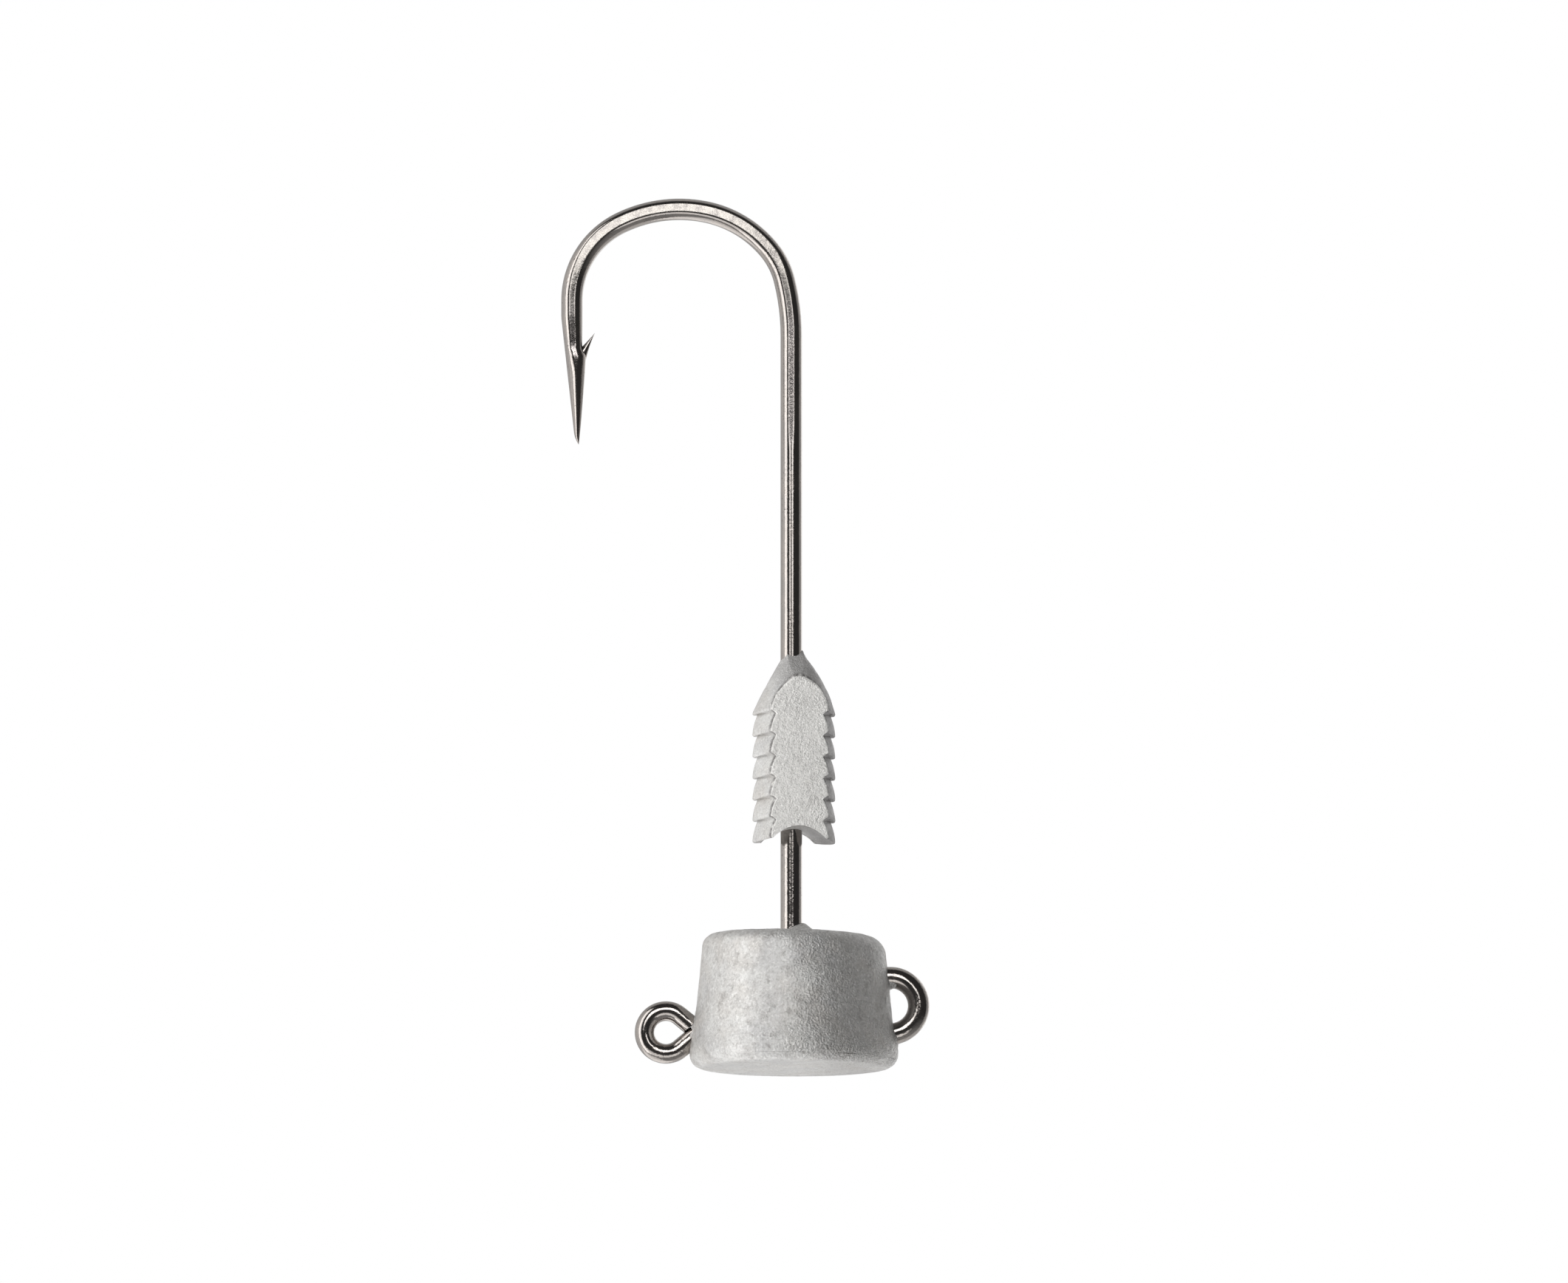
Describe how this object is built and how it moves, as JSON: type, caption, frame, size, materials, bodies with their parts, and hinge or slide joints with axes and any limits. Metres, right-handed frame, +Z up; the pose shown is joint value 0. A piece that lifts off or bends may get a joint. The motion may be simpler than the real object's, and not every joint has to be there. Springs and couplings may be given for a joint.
{
  "type": "jig head",
  "caption": "Stand-up fishing jig head: long-shank barbed hook cast into a round flat-based lead head, with a barbed lead bait keeper on the shank, a line eye and a belly loop.",
  "frame": {"origin": "middle of the head's flat base, which the jig head stands on", "axes": "+Z up along the hook's shank; the hook lies in the XZ plane with its point and the line eye at -X and the belly loop at +X"},
  "size_m": [0.0239, 0.0136, 0.0567],
  "materials": {
    "black_nickel": "gloss",
    "loop_nickel": "gloss",
    "head_lead": "matte",
    "keeper_lead": "matte"
  },
  "bodies": {
    "root": {"hook": "black_nickel", "weight_head": "head_lead", "bait_keeper": "keeper_lead", "belly_loop": "loop_nickel"}
  },
  "joints": []
}
